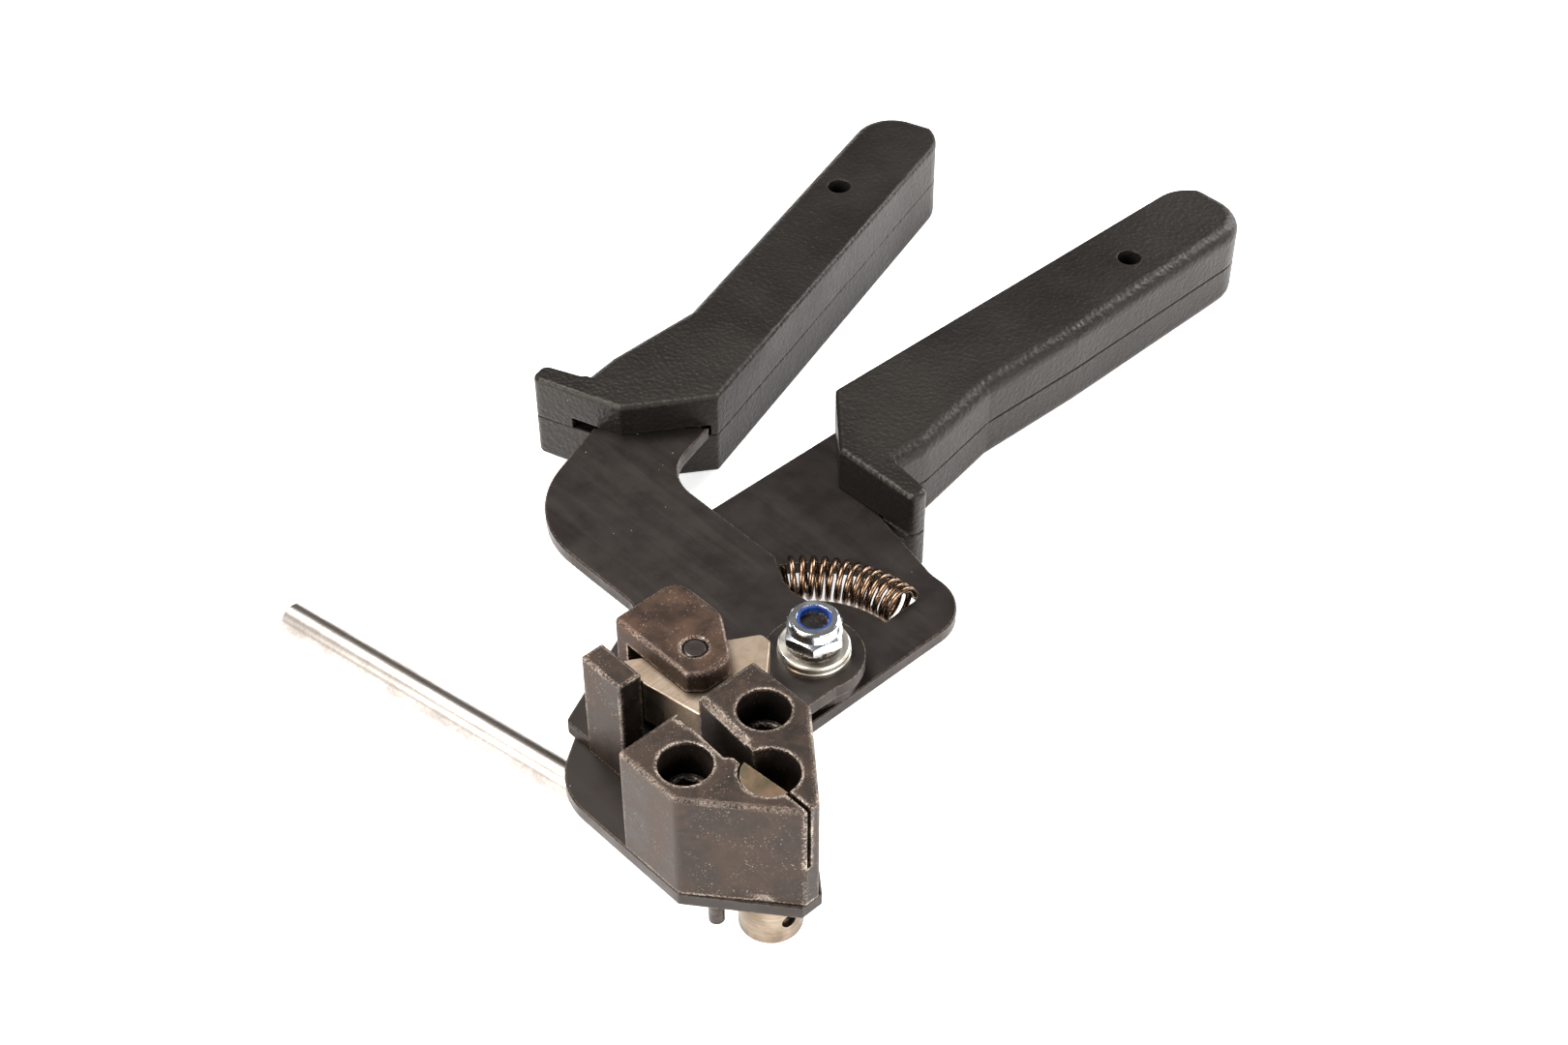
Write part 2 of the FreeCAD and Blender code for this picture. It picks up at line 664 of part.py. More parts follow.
# ---------------------------------------------------------------- grips

FIXED_GRIP = [(0.0, 0.0), (0.0, -20.4), (4.4, -20.4), (5.7, -10.4), (14.0, -10.6), (36.0, -6.9),
              (62.0, -7.6), (121.0, -7.0), (121.0, 12.6), (12.4, 13.9)]
LEVER_GRIP = [(0.2, -0.2), (-0.4, -21.3), (4.6, -21.3), (5.5, -12.2), (14.0, -11.0), (35.0, -4.7),
              (62.0, -5.0), (121.3, -5.9), (121.3, 13.7), (12.5, 15.1)]
GRIP_ROUNDS = [(0, 1.0), (1, 1.9), (2, 1.9), (3, 1.0), (4, 14.0), (5, 30.0), (7, 9.6), (8, 9.6), (9, 1.0)]


def on_back(point, side):
    """Whether a rim edge belongs to the palm side or the far end of a grip."""
    return point.x > 115.0 or (point.x > 6.0 and -12.5 < point.y * side < 0.0)


def grip_half(name, plan, side, slot, floor):
    """One moulded half of a grip, seam face down; side = 1, or -1 for the mirror image."""
    points = [(u, side * v) for u, v in plan]
    rounds = list(GRIP_ROUNDS)
    if side < 0:
        points.reverse()
        rounds = [(len(plan) - 1 - corner, size) for corner, size in GRIP_ROUNDS]
    shell = prism(name + "_blank", points, D["grip_depth"], rounds)
    dress(shell, "Fillet", name + "_top", rim_edges(shell.Tip.Shape, D["grip_depth"].value), D["grip_edge"])
    dress(shell, "Chamfer", name + "_seam", rim_edges(shell.Tip.Shape, 0.0), D["seam_bevel"])
    shoulder, palm_end = plan[3], plan[7]
    reach = [(-9.0, 30.0), (-9.0, -30.0), (shoulder[0], -30.0), *plan[3:8], (palm_end[0], 30.0)]
    end_corner = 7 if side > 0 else 1
    back = prism(name + "_back", [(u, side * v) for u, v in reach][::side], D["grip_depth"], [(end_corner, 9.6)])
    outer = [edge for edge in rim_edges(back.Tip.Shape, D["grip_depth"].value)
             if on_back(back.Tip.Shape.getElement(edge).CenterOfMass, side)]
    dress(back, "Fillet", name + "_roll", outer, D["grip_roll"])
    tools = [hole(D["hang_radius"], D["hang_along"], D["hang_across"] * side, -5.0)]
    if slot:
        pocket = prism(name + "_slot", [(u, side * v) for u, v in slot][::side], D["plate_gauge"] + floor + 0.06)
        tools.append(place(pocket, 0, 0, -floor))
    return cut(common(shell, back), *tools)


FIXED_SLOT = [(-3.0, -14.5), (7.4, -7.0), (62.0, -3.6), (70.1, -1.3), (70.1, 7.3), (21.8, 10.2), (10.9, 12.7),
              (-3.0, 12.7)]
LEVER_SLOT = [(-3.0, -11.9), (1.5, -11.9), (9.6, -5.6), (34.0, -1.9), (70.1, -1.1), (70.1, 7.5), (22.0, 11.0),
              (12.2, 14.0), (-3.0, 14.0)]


def grips():
    """Two mirror-image grips, each of an upper and a lower half closed on its tang."""
    flipped = FreeCAD.Rotation(Vector(1, 0, 0), 180)
    upper = grip_half("fixed_upper", FIXED_GRIP, 1, None, 0.0)
    place(upper, D["grip_x"], D["grip_y"], PLATE_TOP)
    label(upper, "fixed_grip_upper")
    lower = grip_half("fixed_lower", FIXED_GRIP, -1, FIXED_SLOT, 0.5)
    lower.Placement = FreeCAD.Placement(Vector(), flipped)
    for axis, value in zip("xyz", (D["grip_x"], D["grip_y"], PLATE_TOP)):
        bind(lower, f".Placement.Base.{axis}", value)
    label(lower, "fixed_grip_lower")
    upper = grip_half("lever_upper", LEVER_GRIP, -1, LEVER_SLOT, 0.5)
    place(upper, D["lever_grip_x"], D["lever_grip_y"], PLATE_TOP, D["lever_open"])
    label(upper, "lever_grip_upper")
    lower = grip_half("lever_lower", LEVER_GRIP, 1, None, 0.0)
    turn = FreeCAD.Rotation(Vector(0, 0, 1), D["lever_open"].value)
    lower.Placement = FreeCAD.Placement(Vector(), turn.multiply(flipped))
    for axis, value in zip("xyz", (D["lever_grip_x"], D["lever_grip_y"], PLATE_TOP)):
        bind(lower, f".Placement.Base.{axis}", value)
    label(lower, "lever_grip_lower")


# ---------------------------------------------------------------- build, check and write

for build in (base_plate, lever_plate, bridge_plate, head_block, head_screws, cutter_spindle, cutter_parts,
              anvil_post, gripper_yoke, gripper_pawl, pawl_spring, pivot, return_spring, grips):
    build()
doc.recompute()

for obj in doc.Objects:
    if "Invalid" in obj.State or "Error" in obj.State:
        raise RuntimeError(f"{obj.Name} ({obj.Label}) failed: {obj.State}")
os.makedirs("parts", exist_ok=True)
for part in parts:
    shape = part.Shape
    if shape.isNull() or not shape.isValid():
        raise RuntimeError(f"{part.Label} has no valid shape")
    shape.exportStep(f"parts/{part.Label}.step")
    print(f"{part.Label:18s} solids {len(shape.Solids)}  volume {shape.Volume:9.1f} mm3")
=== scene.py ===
import math

import bpy
from mathutils import Matrix, Vector


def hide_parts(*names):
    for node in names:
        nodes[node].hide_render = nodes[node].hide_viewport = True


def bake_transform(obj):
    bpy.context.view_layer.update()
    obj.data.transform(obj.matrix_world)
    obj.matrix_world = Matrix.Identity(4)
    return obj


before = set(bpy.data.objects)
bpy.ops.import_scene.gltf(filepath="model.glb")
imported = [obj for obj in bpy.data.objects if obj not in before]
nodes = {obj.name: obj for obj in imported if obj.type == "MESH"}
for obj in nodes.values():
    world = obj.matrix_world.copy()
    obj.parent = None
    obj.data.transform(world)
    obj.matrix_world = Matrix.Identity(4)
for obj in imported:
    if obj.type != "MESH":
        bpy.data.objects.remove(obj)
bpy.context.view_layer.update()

# Metres, in the CAD's frame: the pivot bolt's axis, and the plane between base and lever plate.
PIVOT = Vector((0.0364, 0.0274, 0.0))
PARTING = 0.0148

BEVEL_SAMPLES = 6

# Grain directions, in degrees about Z.
PLATE_GRAIN = -32
PAWL_GRAIN = 38
BAR_GRAIN = -100.2

# Colours that more than one line uses, or that want a name (linear RGB).
WORN_PLATE_EDGE = (0.23, 0.165, 0.12)
PALE_DUST = (0.4, 0.36, 0.32)
RUBBED_STEEL = (0.5, 0.42, 0.36)
OLIVE_FILM = (0.13, 0.11, 0.075)
BROWN_FILM = (0.2, 0.14, 0.1)
WARM_GLOSS_PLATE = (1.0, 0.9, 0.84)
WARM_GLOSS_GRIP = (1.0, 0.92, 0.86)
GRIP_DUST = (0.35, 0.32, 0.28)
# Lighter grey mixed into the grips' edges: a painted highlight.
GRIP_EDGE_HIGHLIGHT = (0.05, 0.045, 0.042)
WHITE = (1.0, 1.0, 1.0)

# Heights between which the spindle's brown foot gives way to its olive cutter face.
FOOT_TOP, CUTTER_LOW = 0.02, 0.03


# ---------------------------------------------------------------- node helpers

class Nodes:
    """Short names for building one material's node tree."""

    def __init__(self, name):
        self.material = bpy.data.materials.new(name)
        self.material.use_nodes = True
        self.tree = self.material.node_tree
        self.shader = self.tree.nodes["Principled BSDF"]
        self.place = self.node("ShaderNodeTexCoord").outputs["Object"]

    def node(self, kind, **settings):
        made = self.tree.nodes.new(kind)
        for key, value in settings.items():
            setattr(made, key, value)
        return made

    def put(self, socket, value):
        if isinstance(value, bpy.types.NodeSocket):
            self.tree.links.new(value, socket)
        elif isinstance(value, (tuple, list)) and len(value) == 3 and socket.type == "RGBA":
            socket.default_value = (*value, 1.0)
        else:
            socket.default_value = value

    def set(self, name, value):
        self.put(self.shader.inputs[name], value)

    def math(self, operation, a, b=0.0, clamp=False):
        made = self.node("ShaderNodeMath", operation=operation, use_clamp=clamp)
        self.put(made.inputs[0], a)
        self.put(made.inputs[1], b)
        return made.outputs[0]

    def stretch(self, scale, turn=0.0):
        """Object coordinates scaled along each axis, for grain that runs one way."""
        made = self.node("ShaderNodeMapping")
        self.put(made.inputs["Vector"], self.place)
        made.inputs["Rotation"].default_value = (0.0, 0.0, turn)
        made.inputs["Scale"].default_value = scale
        return made.outputs["Vector"]

    def noise(self, scale, detail=3.0, rough=0.5, where=None, distort=0.0):
        made = self.node("ShaderNodeTexNoise")
        self.put(made.inputs["Vector"], where or self.place)
        made.inputs["Scale"].default_value = scale
        made.inputs["Detail"].default_value = detail
        made.inputs["Roughness"].default_value = rough
        made.inputs["Distortion"].default_value = distort
        return made.outputs["Fac"]

    def cells(self, scale, feature="F1"):
        made = self.node("ShaderNodeTexVoronoi", feature=feature)
        self.put(made.inputs["Vector"], self.place)
        made.inputs["Scale"].default_value = scale
        return made.outputs["Distance"]

    def span(self, value, low, high, to_low=0.0, to_high=1.0):
        """Rescale a value smoothly from one range to another, clamped at both ends."""
        made = self.node("ShaderNodeMapRange", interpolation_type="SMOOTHSTEP")
        self.put(made.inputs["Value"], value)
        ends = {"From Min": low, "From Max": high, "To Min": to_low, "To Max": to_high}
        for key, number in ends.items():
            made.inputs[key].default_value = number
        return made.outputs["Result"]

    def mix(self, amount, a, b):
        made = self.node("ShaderNodeMix", data_type="RGBA")
        self.put(made.inputs["Factor"], amount)
        self.put(made.inputs["A"], a)
        self.put(made.inputs["B"], b)
        return made.outputs["Result"]

    def normal_z(self):
        """How far the surface faces up or down, from 0 to 1."""
        parts = self.node("ShaderNodeSeparateXYZ")
        self.put(parts.inputs[0], self.node("ShaderNodeNewGeometry").outputs["Normal"])
        return self.math("ABSOLUTE", parts.outputs["Z"])

    def near_edge(self, radius):
        """Grows from 0 on a flat face to about 0.3 at a sharp edge, within a radius of it."""
        bevel = self.node("ShaderNodeBevel", samples=BEVEL_SAMPLES)
        bevel.inputs["Radius"].default_value = radius
        dot = self.node("ShaderNodeVectorMath", operation="DOT_PRODUCT")
        self.put(dot.inputs[0], bevel.outputs["Normal"])
        self.put(dot.inputs[1], self.node("ShaderNodeNewGeometry").outputs["Normal"])
        return self.math("SUBTRACT", 1.0, dot.outputs["Value"])

    def bump(self, height, depth, strength=1.0, soft_edge=0.0):
        made = self.node("ShaderNodeBump")
        made.inputs["Distance"].default_value = depth
        made.inputs["Strength"].default_value = strength
        self.put(made.inputs["Height"], height)
        if soft_edge:
            bevel = self.node("ShaderNodeBevel", samples=BEVEL_SAMPLES)
            bevel.inputs["Radius"].default_value = soft_edge
            self.put(made.inputs["Normal"], bevel.outputs["Normal"])
        self.set("Normal", made.outputs["Normal"])


# ---------------------------------------------------------------- materials

def plate_material():
    """Blackened sheet steel: satin, faintly streaked, a few dust specks, warm worn edges."""
    m = Nodes("blackened_plate")
    m.set("Metallic", 0.12)
    m.set("Specular Tint", WARM_GLOSS_PLATE)
    cloud = m.noise(55.0, 4.0, 0.55)
    streak = m.noise(420.0, 3.0, 0.6, m.stretch((1.0, 0.07, 1.0), math.radians(PLATE_GRAIN)))
    base = m.mix(m.span(cloud, 0.3, 0.7), (0.008, 0.0064, 0.0061), (0.0115, 0.0092, 0.0086))
    base = m.mix(m.span(streak, 0.5, 0.72, 0.0, 0.15), base, (0.03, 0.025, 0.023))
    grit = m.noise(1500.0, 2.0, 0.6)
    edge = m.near_edge(0.0005)
    worn = m.math("MULTIPLY", m.span(edge, 0.02, 0.14), m.span(grit, 0.34, 0.62))
    base = m.mix(m.math("MULTIPLY", worn, 0.75), base, WORN_PLATE_EDGE)
    dust = m.span(m.cells(330.0), 0.05, 0.03)
    keep = m.span(m.noise(34.0, 1.0), 0.5, 0.62)
    dust = m.math("MULTIPLY", dust, keep)
    m.set("Base Color", m.mix(m.math("MULTIPLY", dust, 0.6), base, PALE_DUST))
    rough = m.span(m.noise(140.0, 5.0, 0.6), 0.25, 0.75, 0.34, 0.5)
    m.set("Roughness", m.math("ADD", rough, m.span(streak, 0.4, 0.7, 0.0, 0.07)))
    m.bump(m.math("ADD", m.math("MULTIPLY", streak, 0.4), grit), 0.000012, 0.6, 0.00015)
    return m.material


def tool_steel_material(name, tint, brown, rim_wear):
    """Oil-blackened tool steel: mottled brown, fine pits, rims and corners rubbed pale.

    rim_wear is how far sloping faces, such as a rounded rim, are rubbed as well as edges.
    """
    m = Nodes(name)
    m.set("Metallic", 0.78)
    cloud = m.noise(150.0, 5.0, 0.62, distort=0.6)
    fine = m.noise(900.0, 3.0, 0.6)
    base = m.mix(m.span(cloud, 0.36, 0.68), tint, brown)
    base = m.mix(m.span(fine, 0.55, 0.75, 0.0, 0.35), base, (0.075, 0.058, 0.048))
    speck = m.noise(2500.0, 4.0, 0.7)
    patch = m.noise(230.0, 3.0, 0.6)
    facing_up = m.normal_z()
    slope = m.math("MULTIPLY", m.span(facing_up, 0.12, 0.45), m.span(facing_up, 0.985, 0.8))
    corner = m.span(m.near_edge(0.0013), 0.01, 0.09)
    edge = m.math("MAXIMUM", corner, m.math("MULTIPLY", slope, rim_wear))
    broken = m.math("ADD", m.span(speck, 0.4, 0.6), m.span(patch, 0.35, 0.7, -0.35, 0.3))
    worn = m.math("MULTIPLY", edge, broken, clamp=True)
    stray = m.math("MULTIPLY", m.span(speck, 0.6, 0.67), m.span(patch, 0.42, 0.62))
    worn = m.math("MAXIMUM", worn, m.math("MULTIPLY", stray, 0.55))
    m.set("Base Color", m.mix(worn, base, RUBBED_STEEL))
    rough = m.span(cloud, 0.3, 0.7, 0.43, 0.58)
    m.set("Roughness", m.math("SUBTRACT", rough, m.math("MULTIPLY", worn, 0.1)))
    relief = m.math("ADD", m.math("MULTIPLY", speck, 0.6), m.math("MULTIPLY", fine, 0.6))
    m.bump(m.math("SUBTRACT", relief, m.math("MULTIPLY", worn, 0.4)), 0.00006, 0.75, 0.0002)
    return m.material


def ground_steel_material(name, light, dark, grain, rough_low, rough_high, upper=None):
    """Bare steel with machining lines along one direction and a brown film in patches.

    upper is a pair of colours for the part above the spindle's foot.
    """
    m = Nodes(name)
    m.set("Metallic", 1.0)
    lines = m.noise(1.0, 4.0, 0.65, grain(m))
    cloud = m.noise(170.0, 4.0, 0.6, distort=0.4)
    fine = m.noise(1400.0, 3.0, 0.65)
    base = m.mix(m.span(cloud, 0.35, 0.66), light, dark)
    base = m.mix(m.span(lines, 0.35, 0.7, 0.0, 0.4), base, tuple(0.55 * c for c in dark))
    if upper:
        height = m.node("ShaderNodeSeparateXYZ")
        m.put(height.inputs[0], m.place)
        film = m.mix(m.span(cloud, 0.4, 0.62), *upper)
        base = m.mix(m.span(height.outputs["Z"], FOOT_TOP, CUTTER_LOW), base, film)
    edge = m.math("MULTIPLY", m.span(m.near_edge(0.0005), 0.02, 0.15), m.span(fine, 0.38, 0.6))
    polished = tuple(min(1.0, 1.35 * c) for c in light)
    m.set("Base Color", m.mix(m.math("MULTIPLY", edge, 0.7), base, polished))
    uneven = m.math("ADD", m.math("MULTIPLY", lines, 0.6), m.math("MULTIPLY", cloud, 0.4))
    m.set("Roughness", m.span(uneven, 0.3, 0.7, rough_low, rough_high))
    m.bump(m.math("ADD", lines, m.math("MULTIPLY", fine, 0.4)), 0.000014, 0.6, 0.00012)
    return m.material


def round_lines(density):
    """Turning marks round the vertical axis: grain that varies with height only."""
    return lambda m: m.stretch((density * 0.02, density * 0.02, density))


def long_lines(density, turn):
    """Drawn or ground marks along a level direction."""
    return lambda m: m.stretch((density * 0.015, density, density), turn)


def zinc_material(name, colour, shade, dull=0.0):
    """Bright zinc plate: slightly cloudy, with soft tool marks; dull adds to its roughness."""
    m = Nodes(name)
    m.set("Metallic", 1.0)
    cloud = m.noise(300.0, 4.0, 0.55)
    fine = m.noise(2600.0, 2.0, 0.6)
    base = m.mix(m.span(cloud, 0.35, 0.7), colour, shade)
    marks = tuple(0.5 * c for c in shade)
    m.set("Base Color", m.mix(m.span(fine, 0.62, 0.75, 0.0, 0.4), base, marks))
    m.set("Roughness", m.span(cloud, 0.3, 0.7, 0.13 + dull, 0.26 + dull))
    m.bump(m.math("ADD", cloud, m.math("MULTIPLY", fine, 0.3)), 0.00002, 0.45, 0.0001)
    return m.material


def spring_material():
    """Oil-tempered wire with a bronze film, fine dark flecks and a wet gloss."""
    m = Nodes("oiled_wire")
    m.set("Metallic", 1.0)
    cloud = m.noise(420.0, 3.0, 0.6)
    fine = m.noise(2400.0, 3.0, 0.6)
    base = m.mix(m.span(cloud, 0.35, 0.68), (0.13, 0.085, 0.055), (0.22, 0.15, 0.105))
    m.set("Base Color", m.mix(m.span(fine, 0.58, 0.74, 0.0, 0.3), base, (0.07, 0.05, 0.04)))
    m.set("Roughness", m.span(fine, 0.3, 0.7, 0.2, 0.36))
    m.bump(fine, 0.00001, 0.5)
    return m.material


def nylon_material():
    """Deep blue nylon with a faint mould texture."""
    m = Nodes("blue_nylon_ring")
    soft = m.noise(700.0, 3.0, 0.5)
    m.set("Base Color", m.mix(m.span(soft, 0.3, 0.7), (0.006, 0.022, 0.1), (0.012, 0.045, 0.2)))
    m.set("Roughness", m.span(soft, 0.3, 0.7, 0.3, 0.45))
    m.bump(soft, 0.00003, 0.5)
    return m.material


def grip_material():
    """Black moulded plastic with a pebble grain, rubbed smoother along the edges, whose colour
    is lightened as a painted highlight.
    """
    m = Nodes("pebbled_black_plastic")
    warp = m.noise(900.0, 2.0, 0.5)
    pebble = m.cells(1150.0, "SMOOTH_F1")
    fine = m.noise(3200.0, 3.0, 0.6)
    cloud = m.noise(38.0, 4.0, 0.6)
    # Edge mask: lowers the roughness along the edges, and lightens their colour as a painted
    # highlight.
    edge_highlight_and_rub = m.span(m.near_edge(0.0018), 0.01, 0.2)
    base = m.mix(m.span(cloud, 0.3, 0.7), (0.0095, 0.008, 0.0072), (0.0145, 0.0125, 0.011))
    base = m.mix(m.span(fine, 0.6, 0.8, 0.0, 0.35), base, (0.045, 0.042, 0.04))
    keep = m.span(m.noise(24.0, 1.0), 0.5, 0.6)
    specks = m.math("MULTIPLY", m.span(m.cells(210.0), 0.05, 0.03), keep)
    base = m.mix(m.math("MULTIPLY", specks, 0.5), base, GRIP_DUST)
    # Painted highlight: the grips' edges are mixed towards a lighter grey.
    m.set("Base Color", m.mix(m.math("MULTIPLY", edge_highlight_and_rub, 0.25), base, GRIP_EDGE_HIGHLIGHT))
    m.set("Specular IOR Level", 0.34)
    m.set("Specular Tint", WARM_GLOSS_GRIP)
    rough = m.span(cloud, 0.3, 0.7, 0.38, 0.48)
    rough = m.math("SUBTRACT", rough, m.math("MULTIPLY", edge_highlight_and_rub, 0.1))
    m.set("Roughness", m.math("ADD", rough, m.span(fine, 0.4, 0.7, 0.0, 0.06)))
    height = m.math("ADD", m.math("MULTIPLY", pebble, 0.9), m.math("MULTIPLY", warp, 0.5))
    height = m.math("ADD", height, m.math("MULTIPLY", fine, 0.25))
    m.bump(height, 0.00024, 0.7, 0.0004)
    return m.material


plate = plate_material()
head_steel = tool_steel_material(
    "blackened_tool_steel", (0.034, 0.027, 0.0235), (0.06, 0.043, 0.034), 0.3)
yoke_steel = tool_steel_material(
    "browned_tool_steel", (0.044, 0.03, 0.024), (0.085, 0.053, 0.038), 0.3)
screw_steel = tool_steel_material(
    "blackened_screw_steel", (0.022, 0.02, 0.019), (0.035, 0.03, 0.027), 0.4)
pawl_steel = ground_steel_material(
    "ground_pawl_steel", (0.43, 0.355, 0.285), (0.3, 0.235, 0.18),
    long_lines(2600.0, math.radians(PAWL_GRAIN)), 0.36, 0.52)
pin_steel = ground_steel_material(
    "dark_pin_steel", (0.1, 0.088, 0.082), (0.05, 0.042, 0.038), round_lines(2200.0), 0.34, 0.5)
spindle_steel = ground_steel_material(
    "turned_spindle_steel", (0.34, 0.28, 0.22), (0.2, 0.155, 0.115),
    round_lines(2400.0), 0.3, 0.46, (OLIVE_FILM, BROWN_FILM))
bar_steel = ground_steel_material(
    "drawn_bar_steel", (0.42, 0.39, 0.365), (0.3, 0.27, 0.25),
    long_lines(1900.0, math.radians(BAR_GRAIN)), 0.28, 0.4)
zinc = zinc_material("bright_zinc", (0.86, 0.87, 0.9), (0.7, 0.71, 0.75))
washer_zinc = zinc_material("washer_zinc", (0.9, 0.87, 0.79), (0.78, 0.74, 0.64), 0.12)
wire = spring_material()
nylon = nylon_material()
grip = grip_material()

FINISH = {
    plate: ["base_plate", "lever_plate", "bridge_plate", "bridge_spacer"],
    head_steel: ["head_block", "anvil_post"],
    yoke_steel: ["gripper_yoke"],
    screw_steel: ["head_screws", "yoke_screws", "lock_washer", "bar_lock_screw", "pivot_bolt"],
    pawl_steel: ["gripper_pawl"],
    pin_steel: ["gripper_pin", "stop_pin", "pivot_bush"],
    spindle_steel: ["cutter_spindle"],
    bar_steel: ["tommy_bar"],
    zinc: ["pivot_nut"],
    washer_zinc: ["pivot_washers"],
    wire: ["return_spring", "pawl_spring", "spindle_ring"],
    nylon: ["nut_insert"],
    grip: ["fixed_grip_upper", "fixed_grip_lower", "lever_grip_upper", "lever_grip_lower"],
}
for finish, names in FINISH.items():
    for name in names:
        for held in nodes[name].material_slots:
            held.material = finish


# ---------------------------------------------------------------- return spring

WIRE_SIDES = 12
WIRE_END = 0.7


def tube(name, path, radius, sides=WIRE_SIDES):
    """A round wire along a dense path, its closed ends drawn in to a share of the radius."""
    verts, faces = [], []
    count = len(path)
    normal = None
    for i, point in enumerate(path):
        ahead = (path[min(i + 1, count - 1)] - path[max(i - 1, 0)]).normalized()
        if normal is None:
            normal = ahead.orthogonal().normalized()
        normal = (normal - ahead * normal.dot(ahead)).normalized()
        side = ahead.cross(normal)
        size = radius * (WIRE_END if i in (0, count - 1) else 1.0)
        for k in range(sides):
            angle = 2 * math.pi * k / sides
            verts.append(point + (normal * math.cos(angle) + side * math.sin(angle)) * size)
    for i in range(count - 1):
        for k in range(sides):
            a, b = i * sides + k, i * sides + (k + 1) % sides
            faces.append((a, b, b + sides, a + sides))
    faces.append(tuple(range(sides))[::-1])
    faces.append(tuple((count - 1) * sides + k for k in range(sides)))
    mesh = bpy.data.meshes.new(name)
    mesh.from_pydata([tuple(v) for v in verts], [], faces)
    mesh.polygons.foreach_set("use_smooth", [len(p.vertices) == 4 for p in mesh.polygons])
    mesh.update()
    made = bpy.data.objects.new(name, mesh)
    bpy.context.scene.collection.objects.link(made)
    return made


# The spring's arc round the pivot, its coil and wire radii, and how its axis climbs from the
# base plate's window to the lever plate.
SPRING_START, SPRING_END = math.radians(3.2), math.radians(58.4)
SPRING_ARC, COIL, WIRE, TURNS = 0.0241, 0.00375, 0.0006, 13
SPRING_LOW, SPRING_RISE = -0.0002, 0.0015
STEPS_PER_TURN = 40
# The last part of the wire at each end, and the part of the arc that it takes up.
CLOSED_WIRE, CLOSED_ARC = 0.055, 0.03
WIDENING = 0.1


def spring_share(share):
    """How far along the arc a share of the wire is: close turns at the ends, the others a little
    wider towards the lever."""
    if share < CLOSED_WIRE:
        return CLOSED_ARC * share / CLOSED_WIRE
    if share > 1 - CLOSED_WIRE:
        return 1 - CLOSED_ARC * (1 - share) / CLOSED_WIRE
    inner = (share - CLOSED_WIRE) / (1 - 2 * CLOSED_WIRE)
    open_arc = 1 - 2 * CLOSED_ARC
    return CLOSED_ARC + open_arc * ((1 - WIDENING) * inner + WIDENING * inner * inner)


path = []
steps = TURNS * STEPS_PER_TURN
for step in range(steps + 1):
    share = step / steps
    done = spring_share(share)
    along = SPRING_START + (SPRING_END - SPRING_START) * done
    phase = 2 * math.pi * TURNS * share
    reach = SPRING_ARC + COIL * math.cos(phase)
    height = PARTING + SPRING_LOW + SPRING_RISE * done + COIL * math.sin(phase)
    path.append(PIVOT + Vector((reach * math.cos(along), reach * math.sin(along), height)))
spring = tube("return_spring_coil", path, WIRE)
spring.data.materials.append(wire)
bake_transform(spring)
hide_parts("return_spring")


# ---------------------------------------------------------------- floor, light and camera

FLOOR_GLOW = 0.62


def floor_material():
    """Near-white paper that glows a little, for a white background with faint shadows."""
    m = Nodes("pale_floor")
    soft = m.noise(6.0, 2.0)
    m.set("Base Color", m.mix(m.span(soft, 0.3, 0.7), (0.93, 0.93, 0.935), (0.95, 0.95, 0.955)))
    m.set("Roughness", m.span(soft, 0.3, 0.7, 0.7, 0.8))
    m.set("Emission Color", WHITE)
    m.set("Emission Strength", FLOOR_GLOW)
    return m.material


# The tool stands on the spindle's foot and the two grips' far ends, so its floor leans a little.
FLOOR_RISE_X, FLOOR_RISE_Y = 0.0229, 0.00785
FLOOR_REACH = 2.5
FLOOR_GAP = 0.0001
corners = [(x, y, FLOOR_RISE_X * x + FLOOR_RISE_Y * y - FLOOR_GAP)
           for x, y in ((-FLOOR_REACH, -FLOOR_REACH), (FLOOR_REACH, -FLOOR_REACH),
                        (FLOOR_REACH, FLOOR_REACH), (-FLOOR_REACH, FLOOR_REACH))]
floor_mesh = bpy.data.meshes.new("floor")
floor_mesh.from_pydata(corners, [], [(0, 1, 2, 3)])
floor_mesh.materials.append(floor_material())
floor = bpy.data.objects.new("floor", floor_mesh)
bpy.context.scene.collection.objects.link(floor)

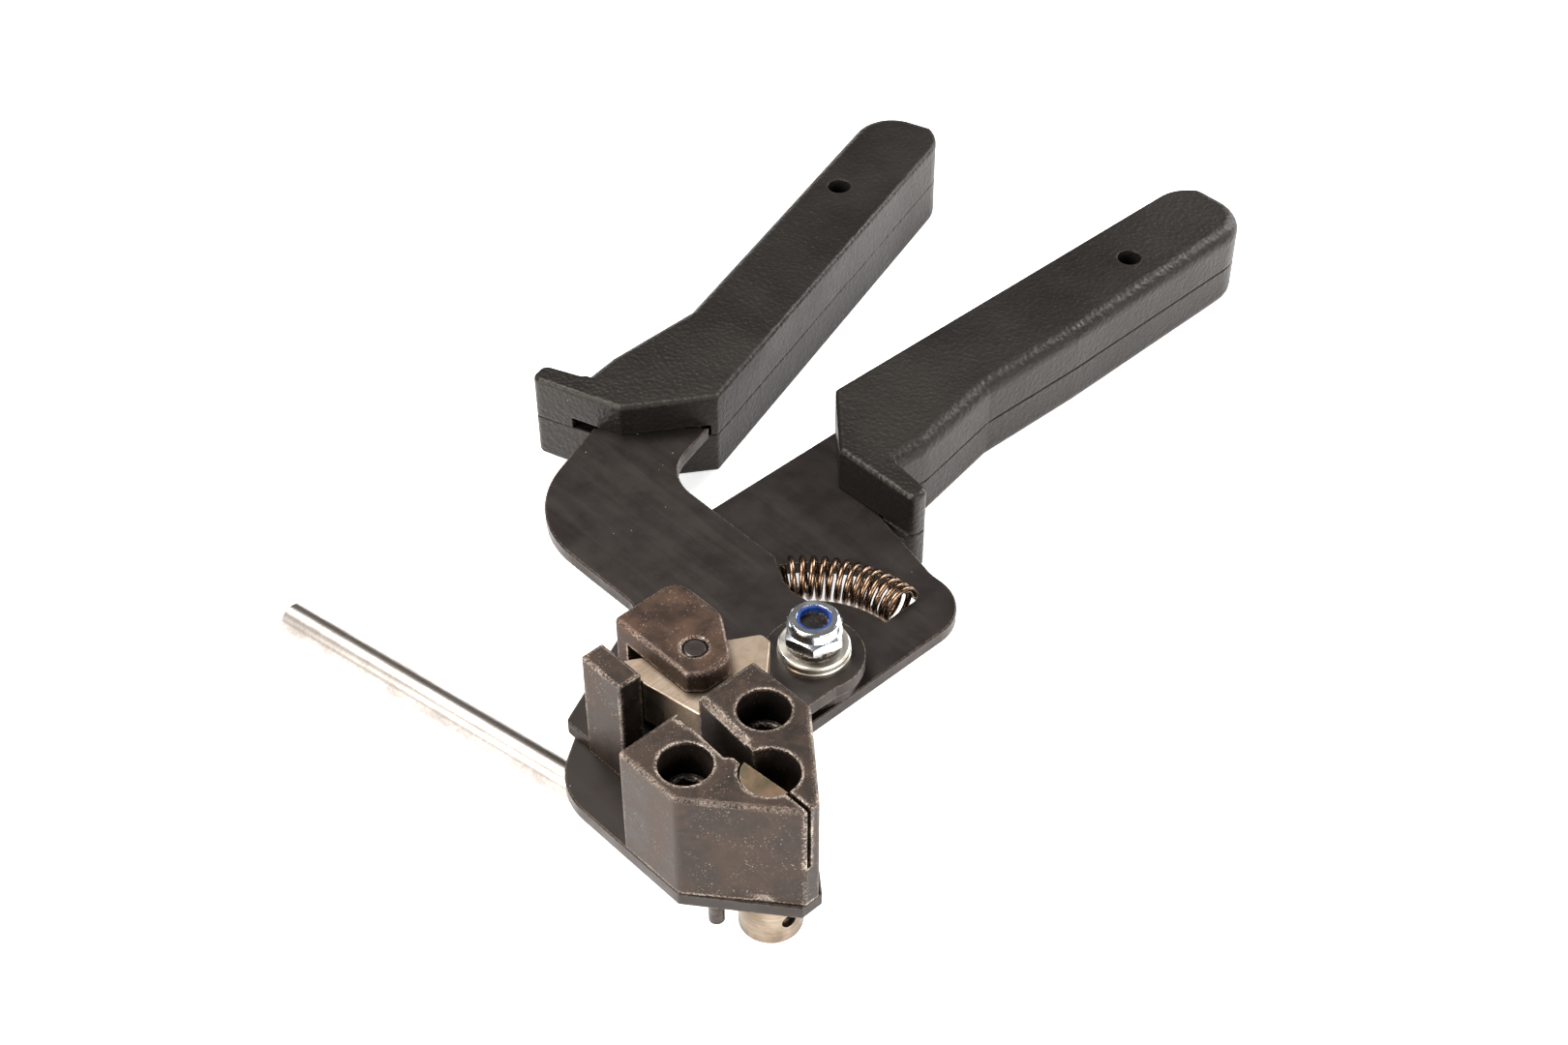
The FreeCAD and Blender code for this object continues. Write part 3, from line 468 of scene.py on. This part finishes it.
LIT_POINT = Vector((0.0602, 0.0607, 0.0148))


def softbox(name, place, width, height, watts, colour=WHITE):
    """A rectangular light that faces the middle of the tool."""
    light = bpy.data.lights.new(name, "AREA")
    light.shape = "RECTANGLE"
    light.size, light.size_y = width, height
    light.energy = watts
    light.color = colour
    lamp = bpy.data.objects.new(name, light)
    lamp.location = place
    lamp.rotation_euler = (LIT_POINT - Vector(place)).to_track_quat("-Z", "Y").to_euler()
    bpy.context.scene.collection.objects.link(lamp)


softbox("top_box", (-0.1, 0.4, 0.95), 0.7, 0.5, 14.0, (1.0, 0.985, 0.96))
softbox("left_box", (-0.75, 0.15, 0.45), 0.4, 0.5, 8.0, (1.0, 0.98, 0.95))
softbox("front_box", (0.1, -0.75, 0.35), 0.7, 0.3, 6.0, (1.0, 0.97, 0.93))
softbox("right_box", (0.75, 0.0, 0.4), 0.3, 0.5, 5.0)

ROOM_LIGHT = 0.16
world = bpy.data.worlds.new("studio")
world.use_nodes = True
background = world.node_tree.nodes["Background"].inputs
background["Color"].default_value = (*WHITE, 1.0)
background["Strength"].default_value = ROOM_LIGHT
bpy.context.scene.world = world

CAMERA_EYE = Vector((-0.17494, -0.19067, 0.33538))
CAMERA_TARGET = Vector((0.06021, 0.06074, 0.0148))
CAMERA_ROLL = math.radians(-0.172)
SENSOR_WIDTH, FOCAL_LENGTH = 36.0, 55.17
NEAREST = 0.01
camera = bpy.data.cameras.new("camera")
camera.sensor_width = SENSOR_WIDTH
camera.lens = FOCAL_LENGTH
camera.clip_start = NEAREST
viewer = bpy.data.objects.new("camera", camera)
bpy.context.scene.collection.objects.link(viewer)
aim = (CAMERA_TARGET - CAMERA_EYE).to_track_quat("-Z", "Y").to_matrix()
roll = Matrix.Rotation(CAMERA_ROLL, 3, "Z")
viewer.matrix_world = Matrix.Translation(CAMERA_EYE) @ (aim @ roll).to_4x4()
bpy.context.scene.camera = viewer
# White background and deep blacks.
bpy.context.scene.view_settings.view_transform = "Standard"
bpy.context.scene.view_settings.look = "Medium High Contrast"
